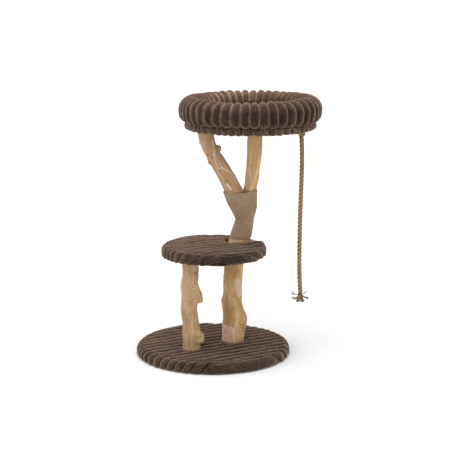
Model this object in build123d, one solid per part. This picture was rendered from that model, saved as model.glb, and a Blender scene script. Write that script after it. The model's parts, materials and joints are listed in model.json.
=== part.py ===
"""Cat tree: a round ribbed-plush base, a small platform and a ring-shaped bed on natural branches.

Frame: millimetres, +Z up, origin at the centre of the base's underside. +X is the side the bed
and the rope lean to, and -Y is the front. Each named piece is written to parts/NAME.step.
"""

import os
from math import cos, degrees, hypot, pi, radians, sin, sqrt, tan

from build123d import *

# ---------------------------------------------------------------- driving dimensions, mm

# Every deck is a wooden board in a plush cover, with a felt liner on its underside.
LINER_T = 3.0
HEM_W = 34.0  # how far the cover turns in under the board
HEM_T = 2.5
LINER_GAP = 1.0  # between the liner's edge and the turned-in hem

BASE_R = 250.0
BASE_TOP = 35.0
BASE_BOARD_R = 241.0
BASE_BOARD_T = 22.0

PLATFORM_X, PLATFORM_Y = 3.0, 8.0
PLATFORM_Z = 322.0  # underside
PLATFORM_R = 171.0
PLATFORM_TOP = 359.0
PLATFORM_BOARD_R = 161.0
PLATFORM_BOARD_T = 18.0
PLATFORM_FOAM_T = 8.0
SLEEVE_X, SLEEVE_Y = 80.5, 64.5  # the hole that the stem passes through
SLEEVE_BOARD_R = 46.0
SLEEVE_R = 41.5

SEAT_X, SEAT_Y = 120.0, 60.0
SEAT_Z = 728.0  # underside
SEAT_R = 209.0
SEAT_TOP = 752.0
SEAT_BOARD_R = 200.0
SEAT_BOARD_T = 15.0

COVER_EDGE_R = 11.0  # how far a cover's rim is rounded over
FOOT_SINK = 8.0  # how far the posts press into the base's plush

# The bed is a stuffed ring on a round floor, and it lifts off the seat.
TAPE_T = 1.0
TAPE_L, TAPE_W = 70.0, 24.0
TAPE_RING_R = 120.0
TAPE_COUNT = 4
BED_FLOOR_R = 205.0
BED_FLOOR_T = 3.0
RING_R = 187.5  # radius of the ring's core line
RING_HALF_W = 40.0
RING_HALF_H = 38.0
RING_MID_Z = 792.0
CUSHION_R = 143.0
CUSHION_T = 24.0

# Logs, each a list of (z, x, y, half width in x, half width in y).
STEM = [
    (BASE_TOP - FOOT_SINK, 63, 33, 36, 35),
    (75, 67, 37, 38, 36),
    (110, 70, 41, 38, 36),
    (140, 65, 44, 34, 34),
    (180, 63, 49, 31.5, 32),
    (240, 65, 54, 31.5, 31.5),
    (300, 72, 61, 32.5, 32),
    (360, 86, 66, 34, 33),
    (400, 96, 68, 31, 31),
    (425, 101, 68, 27.5, 29),
    (470, 112, 68, 27.5, 28),
    (520, 118.5, 70, 21.5, 24),
    (575, 126, 73, 23, 23),
    (640, 133, 77, 24, 23.5),
    (SEAT_Z + LINER_T, 136, 80, 23, 23),
]
LEFT_BRANCH = [
    (418, 100, 66, 19, 20),
    (450, 92, 60, 25, 26),
    (486, 78, 54, 29.5, 28),
    (535, 62, 49, 30.5, 28),
    (575, 43, 47, 29, 27.5),
    (618, 19, 43, 28, 27),
    (664, -9, 39, 25, 25),
    (700, -20, 36, 25, 25),
    (SEAT_Z + LINER_T, -28, 34, 25.5, 25),
]
SHORT_POST = [
    (BASE_TOP - FOOT_SINK, -70, -56, 28.5, 27),
    (60, -70, -56, 28, 27),
    (95, -70, -56, 27.5, 26.5),
    (129, -73, -56, 25.5, 25.5),
    (161, -76, -56, 26.5, 26),
    (205, -73, -56, 26.5, 26),
    (240, -75, -56, 26.5, 26),
    (272, -70.5, -56, 25.5, 25),
    (PLATFORM_Z + LINER_T, -70, -56, 26, 25.5),
]
# The short post's two sawn stubs: the height of each and its outline, (x, z), from the front.
POST_X, POST_Y = -73.0, -56.0
STUB_FRONT, STUB_T = 23.0, 36.0  # how far its front is from the post's middle, and its thickness
STUBS = [
    (190, [(-76, 262), (-49, 246), (-42, 225), (-33, 213), (-31, 199), (-29, 189), (-43, 184), (-76, 176)]),
    (
        58,
        [(-72, 118), (-47, 106), (-43, 92), (-38, 81), (-30, 76), (-28, 58), (-35, 51), (-47, 42), (-72, 34)],
    ),
]
# The two flat cuts at the stem's foot: a point on each, and the way that it faces.
FOOT_CUT = ((49.5, 11, BASE_TOP - FOOT_SINK), (-0.55, -0.83, -0.05))
FOOT_CUT_TOP = ((47.4, 7.7, 90), (-0.42, -0.60, -0.68))
LOG_STEP = 18.0
OUTLINE_POINTS = 12
LOBE_SHARE = 0.035  # how far a log's outline is from an oval
LOBE_TURN = 90.0  # height over which the lobes turn by a radian

WRAP_T = 2.2
WRAP_LOW, WRAP_HIGH = 371.0, 523.0

# Coach screws through the base and the seat, wood screws in the platform and the fork.
COACH_R, COACH_HEAD_R, COACH_HEAD_H = 4.0, 7.5, 5.3
WASHER_R, WASHER_T = 11.0, 1.5
POCKET_R, BASE_POCKET, SEAT_POCKET = 12.5, 9.0, 5.0
SCREW_SPREAD = 13.0
COACH_LENGTH = 62.0
WOOD_R, WOOD_HEAD_R, WOOD_HEAD_H, WOOD_LENGTH = 2.5, 4.8, 3.0, 55.0
CLEARANCE = 0.3

BRACKET_X = 44.0  # the flat planed on the stem's left side
BRACKET_Y, BRACKET_W, BRACKET_T = 60.0, 30.0, 2.0
BRACKET_UP, BRACKET_OUT = 32.0, 46.0
BRACKET_SCREW_R, BRACKET_SCREW_HEAD_R, BRACKET_SCREW_HEAD_H = 1.9, 3.6, 2.0

STAPLE_W, STAPLE_WIRE, STAPLE_LEG = 11.0, 1.2, 9.0

# The rope hangs from a knot under the seat and ends in unlaid strands.
ROPE_X, ROPE_Y = 281.0, 0.0
ROPE_R = 7.0
KNOT_R = 12.0
KNOT_Z = SEAT_Z - KNOT_R - 0.5
STOPPER_R, STOPPER_H = 13.0, 12.0
ROPE_HOLE_R = 7.6
# Offsets of the rope's points from its knot, (x, y, z): it hangs nearly straight.
ROPE_ROUTE = [
    (0.0, 0.0, -6.0),
    (1.8, 0.4, -40.0),
    (2.6, -1.0, -88.0),
    (1.0, -2.6, -160.0),
    (-1.4, -1.4, -240.0),
    (-2.6, 1.4, -330.0),
    (-3.0, 2.4, -410.0),
    (-1.4, 1.2, -472.0),
    (1.6, 0.0, -517.0),
]
STRAND_COUNT = 5
STRAND_R = 2.5
STRAND_RING_R = 4.4
STRAND_BEND_R = 20.0
STRAND_TURN = 105.0
STRAND_DROP = 9.0


# ---------------------------------------------------------------- shared shapes


def disc(x, y, radius, low, high):
    """An upright cylinder between two heights."""
    return Pos(x, y, low) * Cylinder(
        radius, high - low, align=(Align.CENTER, Align.CENTER, Align.MIN)
    )


def block(x, y, z):
    """A box from three (low, high) pairs."""
    return Pos(x[0], y[0], z[0]) * Box(
        x[1] - x[0], y[1] - y[0], z[1] - z[0], align=(Align.MIN, Align.MIN, Align.MIN)
    )


def polar(radius, angle):
    """The point at that radius and angle in degrees."""
    return radius * cos(radians(angle)), radius * sin(radians(angle))


def between(stations):
    """The stations with more of them between, on smooth curves through the given ones."""
    rates = []
    for i in range(len(stations)):
        low, high = stations[max(i - 1, 0)], stations[min(i + 1, len(stations) - 1)]
        rates.append([(b - a) / (high[0] - low[0]) for a, b in zip(low, high)])
    dense = []
    for i in range(len(stations) - 1):
        rise = stations[i + 1][0] - stations[i][0]
        steps = max(1, round(rise / LOG_STEP))
        for k in range(steps):
            t = k / steps
            row = []
            for a, b, u, v in zip(stations[i], stations[i + 1], rates[i], rates[i + 1]):
                share = t * t * (3 - 2 * t)
                bend = t * (1 - t) * ((1 - t) * u - t * v) * rise
                row.append(a + (b - a) * share + bend)
            dense.append(row)
    return dense + [stations[-1]]


def log_outline(station, grow):
    """The closed, slightly lobed outline of a log at one height."""
    z, x, y, half_x, half_y = station
    points = []
    for i in range(OUTLINE_POINTS):
        angle = 2 * pi * i / OUTLINE_POINTS
        share = 1 + LOBE_SHARE * cos(3 * angle + z / LOBE_TURN)
        reach_x, reach_y = half_x * share + grow, half_y * share + grow
        points.append(Vector(x + reach_x * cos(angle), y + reach_y * sin(angle), z))
    places = [i / OUTLINE_POINTS for i in range(OUTLINE_POINTS + 1)]
    return Wire(Edge.make_spline(points, periodic=True, parameters=places))


def log(stations, grow=0.0):
    """A natural log through its outlines, cut level at both ends."""
    return Solid.make_loft([log_outline(station, grow) for station in between(stations)])


def knot(origin, direction, root_r, tip_r, length):
    """The stub of a side branch, which grows out of a log's core."""
    stub = Cone(root_r, tip_r, length, align=(Align.CENTER, Align.CENTER, Align.MIN))
    return Plane(origin=origin, z_dir=direction) * stub


def rounded_disc(x, y, radius, low, high):
    """A thick disc with its rim rounded over, which is a deck in its cover."""
    plain = disc(x, y, radius, low, high)
    rims = plain.edges().filter_by(GeomType.CIRCLE)
    top, bottom = rims.sort_by(Axis.Z)[-1], rims.sort_by(Axis.Z)[0]
    turned = fillet(top, COVER_EDGE_R)
    bottom = turned.edges().filter_by(GeomType.CIRCLE).sort_by(Axis.Z)[0]
    return fillet(bottom, COVER_EDGE_R / 2)


def coach_screw(x, y, seat, up):
    """A hexagon-head screw whose head bears at the height seat and whose shank runs up or down."""
    way = 1 if up else -1
    head_low = seat - COACH_HEAD_H if up else seat
    head = Pos(x, y, head_low) * extrude(
        RegularPolygon(COACH_HEAD_R, 6), COACH_HEAD_H
    )
    low, high = sorted((seat, seat + way * COACH_LENGTH))
    return head + disc(x, y, COACH_R, low, high)


def washer(x, y, seat, up):
    """The washer between a coach screw's head and the board."""
    low = seat - WASHER_T if up else seat
    ring = disc(x, y, WASHER_R, low, low + WASHER_T)
    return ring - disc(x, y, COACH_R + CLEARANCE, low, low + WASHER_T)


def wood_screw(origin, direction, length, radius, head_r, head_h):
    """A countersunk screw, its head flush with the plane at origin and its shank along direction."""
    head = Cone(head_r, radius, head_h, align=(Align.CENTER, Align.CENTER, Align.MIN))
    shank = Cylinder(radius, length, align=(Align.CENTER, Align.CENTER, Align.MIN))
    return Plane(origin=origin, z_dir=direction) * (head + shank)


def staples(x, y, radius, hem_low, count):
    """Staples round a deck's hem, each with its crown just inside the hem's underside."""
    crown_low = hem_low + 0.4
    one = block(
        (-STAPLE_WIRE / 2, STAPLE_WIRE / 2),
        (-STAPLE_W / 2, STAPLE_W / 2),
        (crown_low, crown_low + STAPLE_WIRE),
    )
    for side in (-1, 1):
        middle = side * (STAPLE_W - STAPLE_WIRE) / 2
        one += block(
            (-STAPLE_WIRE / 2, STAPLE_WIRE / 2),
            (middle - STAPLE_WIRE / 2, middle + STAPLE_WIRE / 2),
            (crown_low, crown_low + STAPLE_LEG),
        )
    turns = [360 * (i + 0.5) / count for i in range(count)]
    return [Pos(x, y, 0) * Rot(0, 0, turn) * Pos(radius, 0, 0) * one for turn in turns]


def cover(x, y, radius, low, high, board_r):
    """A cover's outer shape, hollow inside for its board, with the hem turned in underneath."""
    outer = rounded_disc(x, y, radius, low + LINER_T - HEM_T, high)
    opening = disc(x, y, board_r - HEM_W, low, low + LINER_T)
    return outer - opening


def liner(x, y, board_r, low):
    """The felt disc inside the hem, on the underside of a deck."""
    return disc(x, y, board_r - HEM_W - LINER_GAP, low, low + LINER_T)


def cut(shape, *tools):
    """shape without each tool, taken off one at a time."""
    for tool in tools:
        shape = shape - tool
    return shape


# ---------------------------------------------------------------- logs


def make_logs():
    """The stem, the left branch that is coped against it, and the short post, with their knots."""
    stem = log(STEM) + knot((63, 48, 168), (-1, -0.1, -0.15), 14, 4, 35)
    stem = stem - (beyond(*FOOT_CUT) & beyond(*FOOT_CUT_TOP))
    left = log(LEFT_BRANCH)
    left = left + knot((17, 43, 634), (-1, -0.2, -0.3), 19, 10, 33)
    left = left + knot((-6, 40, 664), (1, -0.2, 0.1), 15, 8, 31.5)
    left = left - stem
    post = log(SHORT_POST)
    for low, profile in STUBS:
        core = knot((POST_X, POST_Y, low + 24), (1, -0.28, 0), 44, 25, 60)
        post = post + (core & stub_profile(profile))
    return stem, left, post


def beyond(origin, facing):
    """The space on the facing side of a plane, large enough to cut a log with."""
    block = Box(200, 200, 120, align=(Align.CENTER, Align.CENTER, Align.MIN))
    return Plane(origin=origin, z_dir=facing) * block


def stub_profile(profile):
    """A slab with a stub's outline as the front sees it."""
    outline = make_face(Polyline(*profile, close=True))
    return extrude(Plane.XZ.offset(STUB_FRONT - POST_Y) * outline, -STUB_T)


def make_wrap(stem, left):
    """The jute cloth glued round the fork, from just above the platform."""
    reach = 400.0
    slab = block((-reach, reach), (-reach, reach), (WRAP_LOW, WRAP_HIGH))
    sleeve = (log(STEM, WRAP_T) & slab) + (log(LEFT_BRANCH, WRAP_T) & slab)
    return sleeve - stem - left


# ---------------------------------------------------------------- fasteners


def screw_pair(x, y):
    """The places of the two coach screws in a log's end."""
    return [(x - SCREW_SPREAD, y), (x + SCREW_SPREAD, y)]


BASE_SCREWS = screw_pair(63, 36) + screw_pair(-70, -56)
SEAT_SCREWS = screw_pair(136, 80) + screw_pair(-28, 34)
BASE_SEAT_Z = LINER_T + BASE_POCKET
SEAT_SEAT_Z = SEAT_Z + LINER_T + SEAT_BOARD_T - SEAT_POCKET
PLATFORM_BOARD_TOP = PLATFORM_Z + LINER_T + PLATFORM_BOARD_T


def make_coach_screws():
    """The coach screws and washers of the base and of the seat."""
    base = [coach_screw(x, y, BASE_SEAT_Z - WASHER_T, True) for x, y in BASE_SCREWS]
    base_washers = [washer(x, y, BASE_SEAT_Z, True) for x, y in BASE_SCREWS]
    seat = [coach_screw(x, y, SEAT_SEAT_Z + WASHER_T, False) for x, y in SEAT_SCREWS]
    seat_washers = [washer(x, y, SEAT_SEAT_Z, False) for x, y in SEAT_SCREWS]
    return base, base_washers, seat, seat_washers


def make_platform_screws():
    """Two countersunk screws down through the platform's board into the short post."""
    places = screw_pair(-70, -56)
    return [
        wood_screw(
            (x, y, PLATFORM_BOARD_TOP),
            (0, 0, -1),
            WOOD_LENGTH,
            WOOD_R,
            WOOD_HEAD_R,
            WOOD_HEAD_H,
        )
        for x, y in places
    ]


def make_fork_screws():
    """Two countersunk screws from the left branch into the stem, hidden by the wrap."""
    places = [((52, 43, 496), (1.0, 0.35, -0.05)), ((61, 48, 474), (1.0, 0.3, -0.05))]
    return [
        wood_screw(origin, direction, WOOD_LENGTH + 15, WOOD_R, WOOD_HEAD_R, WOOD_HEAD_H)
        for origin, direction in places
    ]


def make_bracket():
    """The steel angle that ties the platform to the stem, and its four screws."""
    under = PLATFORM_Z + LINER_T
    y = (BRACKET_Y - BRACKET_W / 2, BRACKET_Y + BRACKET_W / 2)
    upright = block((BRACKET_X - BRACKET_T, BRACKET_X), y, (under - BRACKET_UP, under))
    level = block((BRACKET_X - BRACKET_OUT, BRACKET_X), y, (under - BRACKET_T, under))
    angle = upright + level
    screws = []
    for side in (-1, 1):
        place = BRACKET_Y + side * BRACKET_W / 4
        into_stem = (BRACKET_X - BRACKET_T, place, under - BRACKET_UP + 11)
        into_board = (BRACKET_X - BRACKET_OUT + 12, place, under - BRACKET_T)
        for origin, direction, length in (
            (into_stem, (1, 0, 0), 28.0),
            (into_board, (0, 0, 1), 16.0),
        ):
            screws.append(
                wood_screw(
                    origin,
                    direction,
                    length,
                    BRACKET_SCREW_R,
                    BRACKET_SCREW_HEAD_R,
                    BRACKET_SCREW_HEAD_H,
                )
            )
    return cut(angle, *screws), screws


# ---------------------------------------------------------------- decks


def make_base(logs, coach, washers):
    """The base's board, cover, liner and staples."""
    _, _, post = logs
    stem = logs[0]
    board_low = LINER_T
    board = disc(0, 0, BASE_BOARD_R, board_low, board_low + BASE_BOARD_T)
    pins = staples(0, 0, BASE_BOARD_R - HEM_W / 2, LINER_T - HEM_T, 24)
    pockets = [disc(x, y, POCKET_R, 0, BASE_SEAT_Z) for x, y in BASE_SCREWS]
    holes = [
        disc(x, y, COACH_R + CLEARANCE, 0, BASE_TOP) for x, y in BASE_SCREWS
    ]
    skin = cover(0, 0, BASE_R, 0, BASE_TOP, BASE_BOARD_R)
    skin = cut(skin, board, stem, post, *holes, *pins)
    felt = cut(liner(0, 0, BASE_BOARD_R, 0), *pockets)
    return cut(board, *pockets, *holes, *pins), skin, felt, pins


def make_platform(logs, wood, bracket, bracket_screws):
    """The platform's board, foam, cover, liner and staples, with the hole that the stem passes."""
    stem, _, post = logs
    x, y, low = PLATFORM_X, PLATFORM_Y, PLATFORM_Z
    board_low = low + LINER_T
    sleeve_board = disc(SLEEVE_X, SLEEVE_Y, SLEEVE_BOARD_R, low, PLATFORM_TOP)
    sleeve = disc(SLEEVE_X, SLEEVE_Y, SLEEVE_R, low, PLATFORM_TOP)
    board = disc(x, y, PLATFORM_BOARD_R, board_low, PLATFORM_BOARD_TOP) - sleeve_board
    foam_top = PLATFORM_BOARD_TOP + PLATFORM_FOAM_T
    foam = disc(x, y, PLATFORM_BOARD_R, PLATFORM_BOARD_TOP, foam_top) - sleeve_board
    pins = staples(x, y, PLATFORM_BOARD_R - HEM_W / 2, low + LINER_T - HEM_T, 18)
    pins = [pin for pin in pins if clear_of_sleeve(pin)]
    skin = cover(x, y, PLATFORM_R, low, PLATFORM_TOP, PLATFORM_BOARD_R)
    skin = cut(skin, board, foam, sleeve, post, bracket, *pins)
    felt = liner(x, y, PLATFORM_BOARD_R, low)
    felt = cut(felt, skin, sleeve_board, post, bracket, *bracket_screws)
    felt = felt.solids().sort_by(SortBy.VOLUME)[-1]
    board = cut(board, *wood, *bracket_screws, *pins)
    return board, foam, skin, felt, pins


def clear_of_sleeve(pin):
    """Whether a staple stands away from the stem's hole and the post."""
    middle = pin.center()
    from_sleeve = hypot(middle.X - SLEEVE_X, middle.Y - SLEEVE_Y)
    from_post = hypot(middle.X + 70, middle.Y + 56)
    return from_sleeve > SLEEVE_BOARD_R + 12 and from_post > 40


def make_seat(logs, coach, stopper):
    """The seat's board, cover, liner and staples, with the rope's hole."""
    stem, left, _ = logs
    x, y, low = SEAT_X, SEAT_Y, SEAT_Z
    board_low = low + LINER_T
    board_high = board_low + SEAT_BOARD_T
    board = disc(x, y, SEAT_BOARD_R, board_low, board_high)
    pins = staples(x, y, SEAT_BOARD_R - HEM_W / 2, low + LINER_T - HEM_T, 20)
    pins = [pin for pin in pins if clear_of_rope(pin)]
    pockets = [disc(a, b, POCKET_R, SEAT_SEAT_Z, SEAT_TOP) for a, b in SEAT_SCREWS]
    holes = [disc(a, b, COACH_R + CLEARANCE, low, SEAT_TOP) for a, b in SEAT_SCREWS]
    rope_hole = disc(ROPE_X, ROPE_Y, ROPE_HOLE_R, low - 1, SEAT_TOP)
    rope_pocket = disc(
        ROPE_X, ROPE_Y, STOPPER_R + 0.6, board_high - STOPPER_H + 4, SEAT_TOP
    )
    skin = cover(x, y, SEAT_R, low, SEAT_TOP, SEAT_BOARD_R)
    skin = cut(skin, board, stem, left, *pockets, *holes, rope_hole, rope_pocket, *pins)
    board = cut(board, *pockets, *holes, rope_hole, rope_pocket, *pins)
    felt = cut(liner(x, y, SEAT_BOARD_R, low), stem, left, rope_hole)
    return board, skin, felt, pins


def clear_of_rope(pin):
    """Whether a staple stands away from the rope's hole."""
    middle = pin.center()
    return hypot(middle.X - ROPE_X, middle.Y - ROPE_Y) > STOPPER_R + 8


# ---------------------------------------------------------------- bed


def tapes(low):
    """Four strips of hook-and-loop tape in a ring, each lying across its radius."""
    one = block(
        (TAPE_RING_R - TAPE_W / 2, TAPE_RING_R + TAPE_W / 2),
        (-TAPE_L / 2, TAPE_L / 2),
        (low, low + TAPE_T),
    )
    turns = [45 + 360 * i / TAPE_COUNT for i in range(TAPE_COUNT)]
    return [Pos(SEAT_X, SEAT_Y, 0) * Rot(0, 0, turn) * one for turn in turns]


def make_bed():
    """The ring's stuffed bolster, its floor and the loose cushion inside it."""
    floor_low = SEAT_TOP + 2 * TAPE_T
    floor_high = floor_low + BED_FLOOR_T
    floor = disc(SEAT_X, SEAT_Y, BED_FLOOR_R, floor_low, floor_high)
    section = Pos(RING_R, RING_MID_Z) * Ellipse(RING_HALF_W, RING_HALF_H)
    ring = revolve(Plane.XZ * section, Axis.Z)
    bolster = Pos(SEAT_X, SEAT_Y, 0) * ring
    bolster = bolster - disc(SEAT_X, SEAT_Y, 300, floor_low - 60, floor_high)
    cushion = disc(SEAT_X, SEAT_Y, CUSHION_R, floor_high, floor_high + CUSHION_T)
    top = cushion.edges().filter_by(GeomType.CIRCLE).sort_by(Axis.Z)[-1]
    cushion = fillet(top, CUSHION_T * 0.4)
    bottom = cushion.edges().filter_by(GeomType.CIRCLE).sort_by(Axis.Z)[0]
    return floor, bolster, fillet(bottom, CUSHION_T * 0.3)


# ---------------------------------------------------------------- rope


def route_radii(points):
    """The largest tangent arc that each corner of the route has room for."""
    radii = []
    for a, b, c in zip(points, points[1:], points[2:]):
        before, after = Vector(*b) - Vector(*a), Vector(*c) - Vector(*b)
        turn = radians(before.get_angle(after))
        radii.append(0.45 * min(before.length, after.length) / tan(turn / 2))
    return radii


def make_rope():
    """The rope's stopper above the seat, its knot below, its line and its unlaid end."""
    board_high = SEAT_Z + LINER_T + SEAT_BOARD_T
    pocket_low = board_high - STOPPER_H + 4
    stopper = disc(ROPE_X, ROPE_Y, STOPPER_R, pocket_low, pocket_low + STOPPER_H)
    rims = stopper.edges().filter_by(GeomType.CIRCLE)
    stopper = fillet(rims, 3.5)
    stopper = stopper + disc(ROPE_X, ROPE_Y, ROPE_R, SEAT_Z, pocket_low + 1)

    pivot = Pos(ROPE_X, ROPE_Y, KNOT_Z)
    ball = pivot * Sphere(KNOT_R)

    points = [(ROPE_X + x, ROPE_Y + y, KNOT_Z + z) for x, y, z in ROPE_ROUTE]
    radii = route_radii(points)
    print("rope arc radii, mm:", [round(r) for r in radii])
    path = FilletPolyline(*points, radius=radii)
    start = Plane(origin=path @ 0, z_dir=path % 0)
    line = sweep(start * Circle(ROPE_R), path)
    share = line.volume / (pi * ROPE_R**2 * path.length)
    print("rope volume over section times length:", round(share, 4), "length", round(path.length, 1))
    line = line - pivot * Sphere(KNOT_R + CLEARANCE)
    return stopper, ball, line, make_fray(path @ 1, path % 1)


def make_fray(end, along):
    """The unlaid strands below the rope, each bending out and up."""
    across = Plane(origin=end, z_dir=along)
    strands = []
    for i in range(STRAND_COUNT):
        u, v = polar(1, 360 * i / STRAND_COUNT)
        radial = across.x_dir * u + across.y_dir * v
        outward = Plane(origin=end, x_dir=radial, z_dir=along.cross(radial))
        drop = Line((STRAND_RING_R, 0), (STRAND_RING_R, -STRAND_DROP))
        centre_x = STRAND_RING_R + STRAND_BEND_R
        bend = CenterArc(
            (centre_x, -STRAND_DROP), STRAND_BEND_R, 180, STRAND_TURN
        )
        path = outward * (drop + bend)
        start = Plane(origin=path @ 0, z_dir=path % 0)
        strands.append(sweep(start * Circle(STRAND_R), path))
    return strands


# ---------------------------------------------------------------- assembly


def make_parts():
    """Every named piece, as a shape or as a list of separate shapes."""
    stem, left, post = make_logs()
    coach, base_washers, seat_coach, seat_washers = make_coach_screws()
    wood = make_platform_screws()
    fork = make_fork_screws()
    bracket, bracket_screws = make_bracket()

    under = PLATFORM_Z + LINER_T
    planed = block(
        (BRACKET_X - 30, BRACKET_X),
        (BRACKET_Y - BRACKET_W / 2 - 1, BRACKET_Y + BRACKET_W / 2 + 1),
        (under - BRACKET_UP - 1, under),
    )
    wrap = make_wrap(stem, left)
    stem = stem - planed
    wrap = cut(wrap, *fork)
    logs = (stem, left, post)
    stopper, ball, line, fray = make_rope()
    floor, bolster, cushion = make_bed()
    base = make_base(logs, coach, base_washers)
    platform = make_platform(logs, wood, bracket, bracket_screws)
    seat = make_seat(logs, seat_coach, stopper)

    return {
        "base_board": base[0],
        "base_cover": base[1],
        "base_liner": base[2],
        "base_staples": base[3],
        "base_screws": coach,
        "base_washers": base_washers,
        "short_post": cut(post, *coach, *wood),
        "main_stem": cut(stem, *coach, *seat_coach, *fork, *bracket_screws),
        "left_branch": cut(left, *seat_coach, *fork),
        "fork_screws": fork,
        "jute_wrap": wrap,
        "platform_board": platform[0],
        "platform_foam": platform[1],
        "platform_cover": platform[2],
        "platform_liner": platform[3],
        "platform_staples": platform[4],
        "platform_screws": wood,
        "platform_bracket": bracket,
        "bracket_screws": bracket_screws,
        "seat_board": seat[0],
        "seat_cover": seat[1],
        "seat_liner": seat[2],
        "seat_staples": seat[3],
        "seat_screws": seat_coach,
        "seat_washers": seat_washers,
        "hook_tapes": tapes(SEAT_TOP),
        "loop_tapes": tapes(SEAT_TOP + TAPE_T),
        "bed_floor": floor,
        "bed_bolster": bolster,
        "bed_cushion": cushion,
        "rope_stopper": stopper,
        "rope_knot": ball,
        "rope_line": line,
        "rope_fray": fray,
    }


def main():
    os.makedirs("parts", exist_ok=True)
    for name, shape in make_parts().items():
        pieces = shape if isinstance(shape, list) else [shape]
        solids = [solid for piece in pieces for solid in piece.solids()]
        whole = solids[0] if len(solids) == 1 else Compound(children=solids)
        export_step(whole, f"parts/{name}.step")


main()
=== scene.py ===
"""Looks for the cat tree: ribbed plush, peeled wood, jute cloth and a three-strand rope."""

import json
from math import cos, pi, radians, sin

import bpy
import numpy as np
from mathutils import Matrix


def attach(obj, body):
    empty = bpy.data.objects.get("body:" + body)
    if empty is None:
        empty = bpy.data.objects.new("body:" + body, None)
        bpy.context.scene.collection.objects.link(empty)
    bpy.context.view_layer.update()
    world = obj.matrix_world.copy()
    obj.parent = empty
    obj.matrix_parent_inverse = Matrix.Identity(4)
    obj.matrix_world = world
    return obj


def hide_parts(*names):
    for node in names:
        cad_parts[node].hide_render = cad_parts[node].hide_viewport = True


MM = 0.001
UP = np.array([0.0, 0.0, 1.0])
PILE_SHEEN = 0.85
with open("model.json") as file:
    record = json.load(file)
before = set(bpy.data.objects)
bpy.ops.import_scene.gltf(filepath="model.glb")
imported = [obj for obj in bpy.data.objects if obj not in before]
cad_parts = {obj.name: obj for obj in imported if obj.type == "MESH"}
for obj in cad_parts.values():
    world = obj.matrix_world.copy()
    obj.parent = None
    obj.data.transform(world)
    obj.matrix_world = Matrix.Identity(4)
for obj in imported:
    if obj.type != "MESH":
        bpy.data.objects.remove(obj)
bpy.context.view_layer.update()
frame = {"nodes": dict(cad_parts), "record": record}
NODES = frame["nodes"]


# ---------------- numbers shared by shapes


def lattice(points, size, seed):
    """Smooth noise from -1 to 1 at points, with features about as large as size."""
    table = np.random.default_rng(seed).uniform(-1, 1, 4096)
    p = np.asarray(points, float) / np.asarray(size, float) + 100
    cell = np.floor(p).astype(np.int64)
    part = p - cell
    part = part * part * (3 - 2 * part)
    total = np.zeros(len(p))
    for corner in np.ndindex(2, 2, 2):
        key = np.zeros(len(p), np.int64)
        share = np.ones(len(p))
        for axis, prime in enumerate((73856093, 19349663, 83492791)):
            key ^= (cell[:, axis] + corner[axis]) * prime
            share *= part[:, axis] if corner[axis] else 1 - part[:, axis]
        total += share * table[key & 4095]
    return total


def step(low, high, value):
    """0 below low, 1 above high, and smooth between them."""
    t = np.clip((np.asarray(value, float) - low) / (high - low), 0, 1)
    return t * t * (3 - 2 * t)
def layers(points, seed, *waves):
    """Layers of smooth noise, each an (amount, size)."""
    return sum(amount * lattice(points, size, seed + i) for i, (amount, size) in enumerate(waves))


def wander(points, size, seed, axes=3):
    """Smooth noise of its own along each axis."""
    return np.stack([lattice(points, size, seed + axis) for axis in range(axes)], 1)


def bell(away, size):
    """1 at no distance, and near 0 at twice the size."""
    return np.exp(-((away / size) ** 2))


def full_turn(count):
    """Angles at an even pitch round a circle."""
    return np.linspace(0, 2 * pi, count, endpoint=False)


def directions(turn):
    """The unit vector of each angle."""
    return np.stack([np.cos(turn), np.sin(turn)], 1)


def at_height(xy, z):
    """Points of a plan, lifted to a height or to one height each."""
    return np.column_stack([xy, np.full(len(xy), z)])


def from_axis(points, x=0.0, y=0.0):
    """Each point's distance from the upright line through (x, y)."""
    return np.hypot(points[:, 0] - x, points[:, 1] - y)


def run_lengths(points):
    """The length along a line of points, from its first to each."""
    return np.concatenate([[0], np.cumsum(np.linalg.norm(np.diff(points, axis=0), axis=1))])


def points_of(mesh):
    """A mesh's points, in millimetres."""
    points = np.zeros(len(mesh.vertices) * 3)
    mesh.vertices.foreach_get("co", points)
    return points.reshape(-1, 3) / MM


def current(piece):
    """A piece as its modifiers leave it."""
    return piece.evaluated_get(bpy.context.evaluated_depsgraph_get())


def modify(piece, kind, **settings):
    """Adds a modifier to a piece and applies it."""
    modifier = piece.modifiers.new(kind, kind)
    for name, value in settings.items():
        setattr(modifier, name, value)
    piece.data = bpy.data.meshes.new_from_object(current(piece))
    piece.modifiers.clear()


def add_object(name, data):
    """A new object in the scene."""
    thing = bpy.data.objects.new(name, data)
    bpy.context.scene.collection.objects.link(thing)
    return thing


def mesh_of(name, points, faces):
    """A mesh from points in millimetres."""
    mesh = bpy.data.meshes.new(name)
    mesh.from_pydata([tuple(p) for p in np.asarray(points) * MM], [], faces)
    return mesh


def dress(mesh, material, values, smooth=True):
    """Gives a mesh its material and the per-point values that the material reads."""
    mesh.polygons.foreach_set("use_smooth", [smooth] * len(mesh.polygons))
    for key, data in values.items():
        data = np.asarray(data, np.float32)
        kind = "FLOAT_VECTOR" if data.ndim == 2 else "FLOAT"
        attribute = mesh.attributes.new(key, kind, "POINT")
        attribute.data.foreach_set("vector" if data.ndim == 2 else "value", data.ravel())
    mesh.materials.clear()
    mesh.materials.append(material)
    mesh.update()


def new_piece(name, points, faces, material, values, smooth=True):
    """A piece from points in millimetres."""
    mesh = mesh_of(name, points, faces)
    dress(mesh, material, values, smooth)
    return add_object(name, mesh)


def ring_faces(rows, columns, close_rows=False):
    """Quads between rows of points that each close on themselves."""
    faces = []
    for i in range(rows if close_rows else rows - 1):
        a, b = i * columns, (i + 1) % rows * columns
        for j in range(columns):
            k = (j + 1) % columns
            faces.append((a + j, a + k, b + k, b + j))
    return faces


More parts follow.
